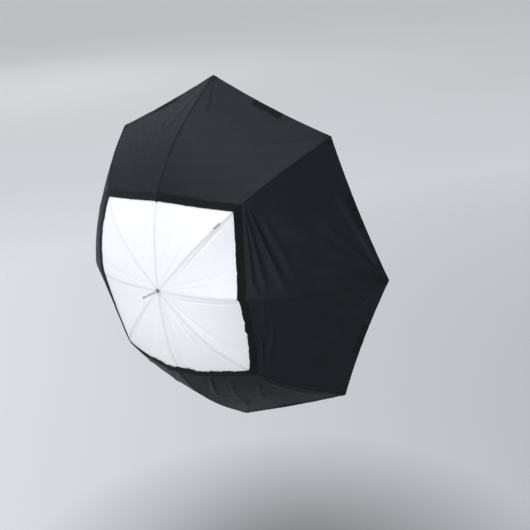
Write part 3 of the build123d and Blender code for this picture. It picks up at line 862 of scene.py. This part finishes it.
for k in range(RIBS):
    inner = cloth_panel(f"white_inner_{k}", "white", k, hub_edge, split_line)
    outer = cloth_panel(f"white_outer_{k}", "white", k, split_line, hem)
    cover = cloth_panel(f"black_cover_{k}", "black", k, tape_inner, shifted(hem, HEM_OVER))
    for piece, material, part, slot, node in (
        (inner, WHITE_CLOTH, "inner", "white_cloth", f"canopy_inner_{k}"),
        (outer, WHITE_CLOTH, "outer", "white_cloth", f"canopy_outer_{k}"),
        (cover, BLACK_CLOTH, "outer", "black_cloth", f"cover_{k}"),
    ):
        goes_with(dress(piece, material), k, part)
        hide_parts(node)

    tape = raised(
        f"window_tape_{k}", "black", k, tape_inner, tape_outer, COLUMNS, TAPE_RISE, TAPE_UNDER, (False, False)
    )
    edge = raised(
        f"black_hem_{k}", "black", k, shifted(hem, -HEM_WIDTH), shifted(hem, HEM_OVER + HEM_WRAP), COLUMNS, HEM_RISE,
        HEM_WRAP, (False, False),
    )
    white_edge = raised(
        f"white_hem_{k}", "white", k, shifted(hem, -HEM_WIDTH), shifted(hem, 0.0), COLUMNS, HEM_RISE, 0.0001,
        (False, False), inwards=True,
    )
    tape_end = float(tape_outer(k, np.float64(-1.0)))
    seam = strip_on_rib(f"black_seam_{k}", "black", k, tape_end, RIB_LENGTH - SEAM_SHORT, SEAM_WIDTH, SEAM_RISE)
    joint, corner = JOINT_SHARE * RIB_LENGTH, CORNER_SHARE * RIB_LENGTH
    white_seam = strip_on_rib(
        f"white_seam_inner_{k}", "white", k, WHITE_SEAM_START, joint, WHITE_SEAM_WIDTH, WHITE_SEAM_RISE
    )
    white_seam_outer = strip_on_rib(
        f"white_seam_outer_{k}", "white", k, joint, corner, WHITE_SEAM_WIDTH, WHITE_SEAM_RISE
    )
    patches = [
        raised(
            f"hem_patch_{k}_{word}", "black", k, shifted(hem, -PATCH_IN - PATCH_WIDTH), shifted(hem, -PATCH_IN),
            patch_columns(side), PATCH_RISE, PATCH_UNDER, ends,
        )
        for word, side, ends in (("before", -1, (False, True)), ("after", 0, (True, False)))
    ]
    pocket = raised(
        f"corner_pocket_{k}", "black", k, pocket_top, shifted(hem, POCKET_OVER), pocket_columns(), POCKET_RISE,
        POCKET_UNDER,
    )
    liner = raised(
        f"pocket_liner_{k}", "white", k, pocket_top, shifted(hem, LINER_OVER), pocket_columns(), LINER_RISE,
        LINER_UNDER, inwards=True,
    )
    # a small grey strip on the white cloth over rib 1's stretcher joint
    if k == MARK_RIB:
        grey_mark = strip_on_rib(
            f"joint_grey_mark_{k}", "white", k, MARK_SHARE * RIB_LENGTH - MARK_LENGTH / 2,
            MARK_SHARE * RIB_LENGTH + MARK_LENGTH / 2, MARK_WIDTH, MARK_RISE,
        )
        goes_with(dress(grey_mark, JOINT_MARK_GREY), k, "outer")
    tape_lines = on_line(k, tape_inner, TAPE_STITCH_FROM, TAPE_STITCH_IN, TAPE_RISE)
    tape_lines += on_line(k, tape_outer, TAPE_STITCH_FROM, -TAPE_STITCH_IN, TAPE_RISE)
    hem_lines = on_line(k, hem, HEM_STITCH_FROM, -HEM_WIDTH + HEM_STITCH_IN, HEM_RISE)
    seam_lines = along_rib(k, SEAM_WIDTH * SEAM_STITCH, tape_end, RIB_LENGTH - POCKET_LENGTH, "black", SEAM_RISE)
    reach = PATCH_HALF / float(half_width(RIB_LENGTH - PATCH_IN))
    patch_lines = []
    for by in (-PATCH_IN - PATCH_STITCH_IN, -PATCH_IN - PATCH_WIDTH + PATCH_STITCH_IN):
        patch_lines += on_line(k, hem, 1 - reach * PATCH_STITCHED, by, PATCH_RISE)
    black_stitches = stitch_rows(f"black_stitches_{k}", tape_lines + hem_lines + seam_lines + patch_lines)
    out = WHITE_SEAM_WIDTH * WHITE_SEAM_STITCH
    white_inner_stitches = stitch_rows(
        f"white_stitches_inner_{k}", along_rib(k, out, WHITE_STITCH_START, joint, "white", WHITE_SEAM_RISE)
    )
    white_outer_stitches = stitch_rows(
        f"white_stitches_outer_{k}",
        along_rib(k, out, joint, corner, "white", WHITE_SEAM_RISE)
        + on_line(k, hem, HEM_STITCH_FROM, -HEM_WIDTH + HEM_STITCH_IN, -HEM_RISE, "white"),
    )
    for piece, material, part, slot in (
        (tape, TAPE, "outer", "black_cloth"),
        (edge, BLACK_CLOTH, "outer", "black_cloth"),
        (white_edge, WHITE_SEAM_SHADED, "outer", "white_cloth"),
        (seam, BINDING, "outer", "black_cloth"),
        (white_seam, WHITE_SEAM_SHADED, "inner", "white_cloth"),
        (white_seam_outer, WHITE_SEAM_SHADED, "outer", "white_cloth"),
        (patches[0], TAPE, "outer", "black_cloth"),
        (patches[1], TAPE, "outer", "black_cloth"),
        (pocket, BINDING, "outer", "black_cloth"),
        (liner, BINDING, "outer", "black_cloth"),
        (black_stitches, BLACK_THREAD, "outer", "black_cloth"),
        (white_inner_stitches, WHITE_THREAD, "inner", "white_cloth"),
        (white_outer_stitches, WHITE_THREAD, "outer", "white_cloth"),
    ):
        goes_with(dress(piece, material), k, part)

    size, area = cut(hub_edge, split_line)
    size, area = cut(split_line, hem)
    size, area = cut(tape_inner, shifted(hem, HEM_OVER))

    angle = 2 * HALF_GORE * k
    outwards = Vector((math.sin(angle), 0, math.cos(angle)))
    for share, part in TIES:
        s = share * RIB_LENGTH
        lean = float(slope(np.float64(s)))
        centre = outwards * float(radius(s)) + Vector((0, CROWN_Y + float(np.interp(s, LENGTHS, DEPTHS)), 0))
        along = outwards * math.cos(lean) + Vector((0, math.sin(lean), 0))
        turns = [centre + along * (i * TIE_PITCH - TIE_HALF) for i in range(TIE_TURNS)]
        section = round_section(TIE_R, THREAD_R)
        tie = ring_sweep(f"rib_tie_{k}_{int(share * 100)}", turns, [along] * TIE_TURNS, section, 20)
        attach(dress(tie, WHITE_THREAD), f"rib_{part}_{k}")


# ---- The hub's patch, and a dark ring at the ferrule's foot: painted shade for the gap between ferrule and washer ----

ROSETTE_R, ROSETTE_T = 0.0135, 0.0004
ROSETTE_LOW, ROSETTE_HIGH, SCALLOP, ROSETTE_BEVEL = 0.0001, 0.0002, 0.035, 0.06  # its faces' lifts, and its edge
ROSETTE_PUCKER, ROSETTE_PUCKERS = 0.00015, 24
# a ring at the ferrule's foot, painted shade for the gap there: its radius, thickness and how far it stands ahead of
# the washer
GAP_RING_R, GAP_RING_THICK, GAP_RING_AHEAD = 0.0045, 0.0010, 0.0006
washer_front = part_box("crown_washer")[0].y


def rosette():
    """A round patch of doubled cloth that takes the washer's pressure, scalloped by its eight seams."""
    rings, turns = 14, 96
    top, bottom, uv = [], [], []
    for i in range(rings + 1):
        t = i / rings
        ring_top, ring_bottom, ring_uv = [], [], []
        for j in range(turns + 1):
            angle = 2 * math.pi * j / turns
            scallop = 1 - SCALLOP * abs(math.sin(angle * RIBS / 2))
            r = HUB_HOLE_R + (ROSETTE_R * scallop - HUB_HOLE_R) * t
            y = CROWN_Y + float(np.interp(length_at(r), LENGTHS, DEPTHS)) - WHITE_LIFT
            edge = ROSETTE_T * min(1.0, (1 - t) / ROSETTE_BEVEL)
            pucker = ROSETTE_PUCKER * math.cos(angle * ROSETTE_PUCKERS) * smooth(np.float64(t))
            x, z = r * math.sin(angle), r * math.cos(angle)
            ring_top.append((x, y - ROSETTE_HIGH - edge - pucker, z))
            ring_bottom.append((x, y - ROSETTE_LOW, z))
            ring_uv.append((x, z))
        top.append(ring_top)
        bottom.append(ring_bottom)
        uv.append(ring_uv)
    return slab("hub_patch", *(np.array(a) for a in (top, bottom, uv)))


hub_patch = rosette()
gap_ring_section = round_section(GAP_RING_R, GAP_RING_THICK, 12)
gap_shade_ring = ring_sweep("hub_gap_shade_ring", [(0, washer_front - GAP_RING_AHEAD, 0)], [(0, 1, 0)], gap_ring_section, 40)
for piece, material, slot in ((hub_patch, WHITE_SEAM_SHADED, "white_cloth"), (gap_shade_ring, GAP_SHADE_BROWN, "black_plastic")):
    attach(dress(piece, material), "root")

# ---- Floor, lights and camera ----

FLOOR_Z = -1.30
FLOOR_RINGS = (1.0, 2.0, 4.0, 8.0, 16.0, 40.0, 100.0, 320.0)
FLOOR_COLOUR = (0.885, 0.885, 0.892)
# Painted shade on the paper, for the falloff of light and the umbrella's shadow: a point, how bright it is there and
# far off, and the distances of the two
FLOOR_PAINTED_SHADE = (
    ((0.0, 0.0, 0.0), (0.83, 1.0), (1.0, 9.0)),  # about the umbrella
    ((2.0, 1.2, FLOOR_Z), (0.60, 1.0), (0.8, 6.0)),  # to its right
    ((-0.05, -0.15, FLOOR_Z), (0.42, 1.0), (0.15, 1.1)),  # right below it
)
FLOOR_UNEVEN = (0.985, 1.015)


def away_from(tree, place, spot):
    """The distance from a point, as a value."""
    node = tree.nodes.new("ShaderNodeVectorMath")
    node.operation = "DISTANCE"
    tree.links.new(place, node.inputs[0])
    node.inputs[1].default_value = spot
    return node.outputs["Value"]


def floor():
    turns = 64
    angles = [2 * math.pi * i / turns for i in range(turns)]
    vertices = [(0.0, 0.0, FLOOR_Z)]
    for r in FLOOR_RINGS:
        vertices += [(r * math.cos(angle), r * math.sin(angle), FLOOR_Z) for angle in angles]
    faces = [(0, 1 + i, 1 + (i + 1) % turns) for i in range(turns)]
    for ring in range(len(FLOOR_RINGS) - 1):
        first = 1 + ring * turns
        for i in range(turns):
            j = (i + 1) % turns
            faces.append((first + i, first + turns + i, first + turns + j, first + j))
    piece = link("floor", vertices, faces, soft=False)
    material, tree, shader = shader_of("studio_floor")
    place = place_on(tree, cloth=False)
    tone_and_painted_shade = mapped(tree, noise(tree, place, FLOOR_TONE, 2.0), *FLOOR_UNEVEN)
    # painted shade: the paper's colour is dimmed about the umbrella, to its right and right below it
    for spot, brightness, distances in FLOOR_PAINTED_SHADE:
        painted_dim = mapped(tree, away_from(tree, place, spot), *brightness, *distances)
        tone_and_painted_shade = maths(tree, "MULTIPLY", tone_and_painted_shade, painted_dim)
    tree.links.new(tinted(tree, tone_and_painted_shade, (0.0, 0.0, 0.0), FLOOR_COLOUR, 0.0, 1.0), shader.inputs["Base Color"])
    tree.links.new(mapped(tree, noise(tree, place, FLOOR_WEAR), 0.85, 0.95), shader.inputs["Roughness"])
    shader.inputs["Specular IOR Level"].default_value = 0.1
    dress(piece, material)


floor()

CENTRE = Vector((0.0, -0.33, 0.0))


def soft_light(name, direction, distance, size, power, colour=(1.0, 1.0, 1.0), aim=CENTRE):
    """A square soft light that looks at the umbrella, or at another point, from a direction."""
    data = bpy.data.lights.new(name, "AREA")
    data.shape, data.size, data.energy, data.color = "SQUARE", size, power, colour
    lamp = bpy.data.objects.new(name, data)
    away = Vector(direction).normalized()
    lamp.location = aim + away * distance
    lamp.rotation_mode = "QUATERNION"
    lamp.rotation_quaternion = (-away).to_track_quat("-Z", "Y")
    bpy.context.scene.collection.objects.link(lamp)


soft_light("low_left", (-0.75, -0.60, 0.50), distance=8.0, size=4.5, power=75, colour=(1.0, 0.99, 0.98))
soft_light("front", (0.10, -1.0, -0.05), distance=9.0, size=3.0, power=432)
soft_light("top_softbox", (-0.06, -0.31, 0.94), distance=6.0, size=2.5, power=280, colour=(0.89, 0.95, 1.04))
soft_light("far_floor", (0.0, 0.0, 1.0), distance=6.0, size=8.0, power=90, aim=Vector((-14.0, 10.0, FLOOR_Z)))

SKY_DARK, SKY_LIGHT = (0.37, 0.37, 0.378), (0.69, 0.705, 0.74)
SKY_LEAN = -0.12  # it is lighter towards -X

world = bpy.data.worlds.new("studio")
world.use_nodes = True
bpy.context.scene.world = world
sky = world.node_tree
direction = sky.nodes.new("ShaderNodeTexCoord").outputs["Generated"]
axes = sky.nodes.new("ShaderNodeSeparateXYZ")
sky.links.new(direction, axes.inputs[0])
height = mapped(sky, axes.outputs["Z"], 0.0, 1.0, 0.0, 1.0)
leftwards = maths(sky, "MULTIPLY", axes.outputs["X"], SKY_LEAN)
bright = maths(sky, "ADD", height, leftwards)
colour = tinted(sky, bright, SKY_DARK, SKY_LIGHT, 0.0, 1.0)
sky.links.new(colour, sky.nodes["Background"].inputs["Color"])
sky.nodes["Background"].inputs["Strength"].default_value = 1.0

AIM = Vector((0.146, -0.311, 0.003))
DISTANCE = 2.3324
AZIMUTH, DOWN, ROLL = math.radians(-37.67), math.radians(18.98), math.radians(-4.84)
LENS, SENSOR = 58.87, 36.0

forward = Vector((math.sin(AZIMUTH) * math.cos(DOWN), math.cos(AZIMUTH) * math.cos(DOWN), -math.sin(DOWN)))
level = forward.cross(Vector((0, 0, 1))).normalized()
upright = level.cross(forward)
right = level * math.cos(ROLL) + upright * math.sin(ROLL)
up = right.cross(forward)
data = bpy.data.cameras.new("camera")
data.lens, data.sensor_width, data.clip_start, data.clip_end = LENS, SENSOR, 0.05, 2000.0
camera = bpy.data.objects.new("camera", data)
bpy.context.scene.collection.objects.link(camera)
turned = Matrix((right, up, -forward)).transposed().to_4x4()
camera.matrix_world = Matrix.Translation(AIM - forward * DISTANCE) @ turned
bpy.context.scene.camera = camera
bpy.context.scene.view_settings.view_transform = "Standard"
